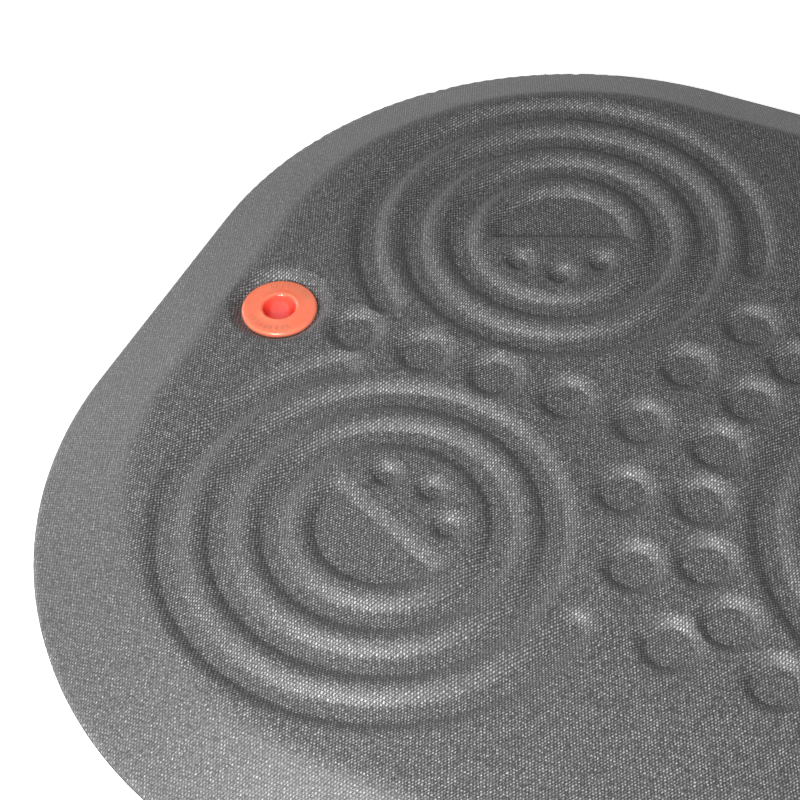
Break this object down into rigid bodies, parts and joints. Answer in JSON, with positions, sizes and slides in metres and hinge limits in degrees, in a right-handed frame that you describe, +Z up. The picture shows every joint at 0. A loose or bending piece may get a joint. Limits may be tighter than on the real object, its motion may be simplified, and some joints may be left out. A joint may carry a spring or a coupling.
{
  "type": "balance pad",
  "caption": "Thin fabric-covered foam balance pad with moulded ring grooves, dimples, a wide bevelled border and a hanging eyelet.",
  "frame": {"origin": "centre of the underside, on the surface the pad lies on", "axes": "+X along the length with the eyelet at the -X end, +Y across the width, +Z up through the thickness"},
  "size_m": [0.575, 0.36, 0.018],
  "materials": {
    "knit_cover": "fine dark grey knit with light flecks",
    "moulded_foam": "closed-cell foam, matt",
    "core_foam": "springy closed-cell foam, matt",
    "grip_rubber": "matt grip sheet with a fine waffle",
    "eyelet_plastic": "glossy moulded plastic"
  },
  "bodies": {
    "root": {"top_cover": "knit_cover", "relief_foam": "moulded_foam", "core_foam": "core_foam", "grip_sheet": "grip_rubber", "eyelet": "eyelet_plastic", "locking_ring": "eyelet_plastic"}
  },
  "joints": []
}
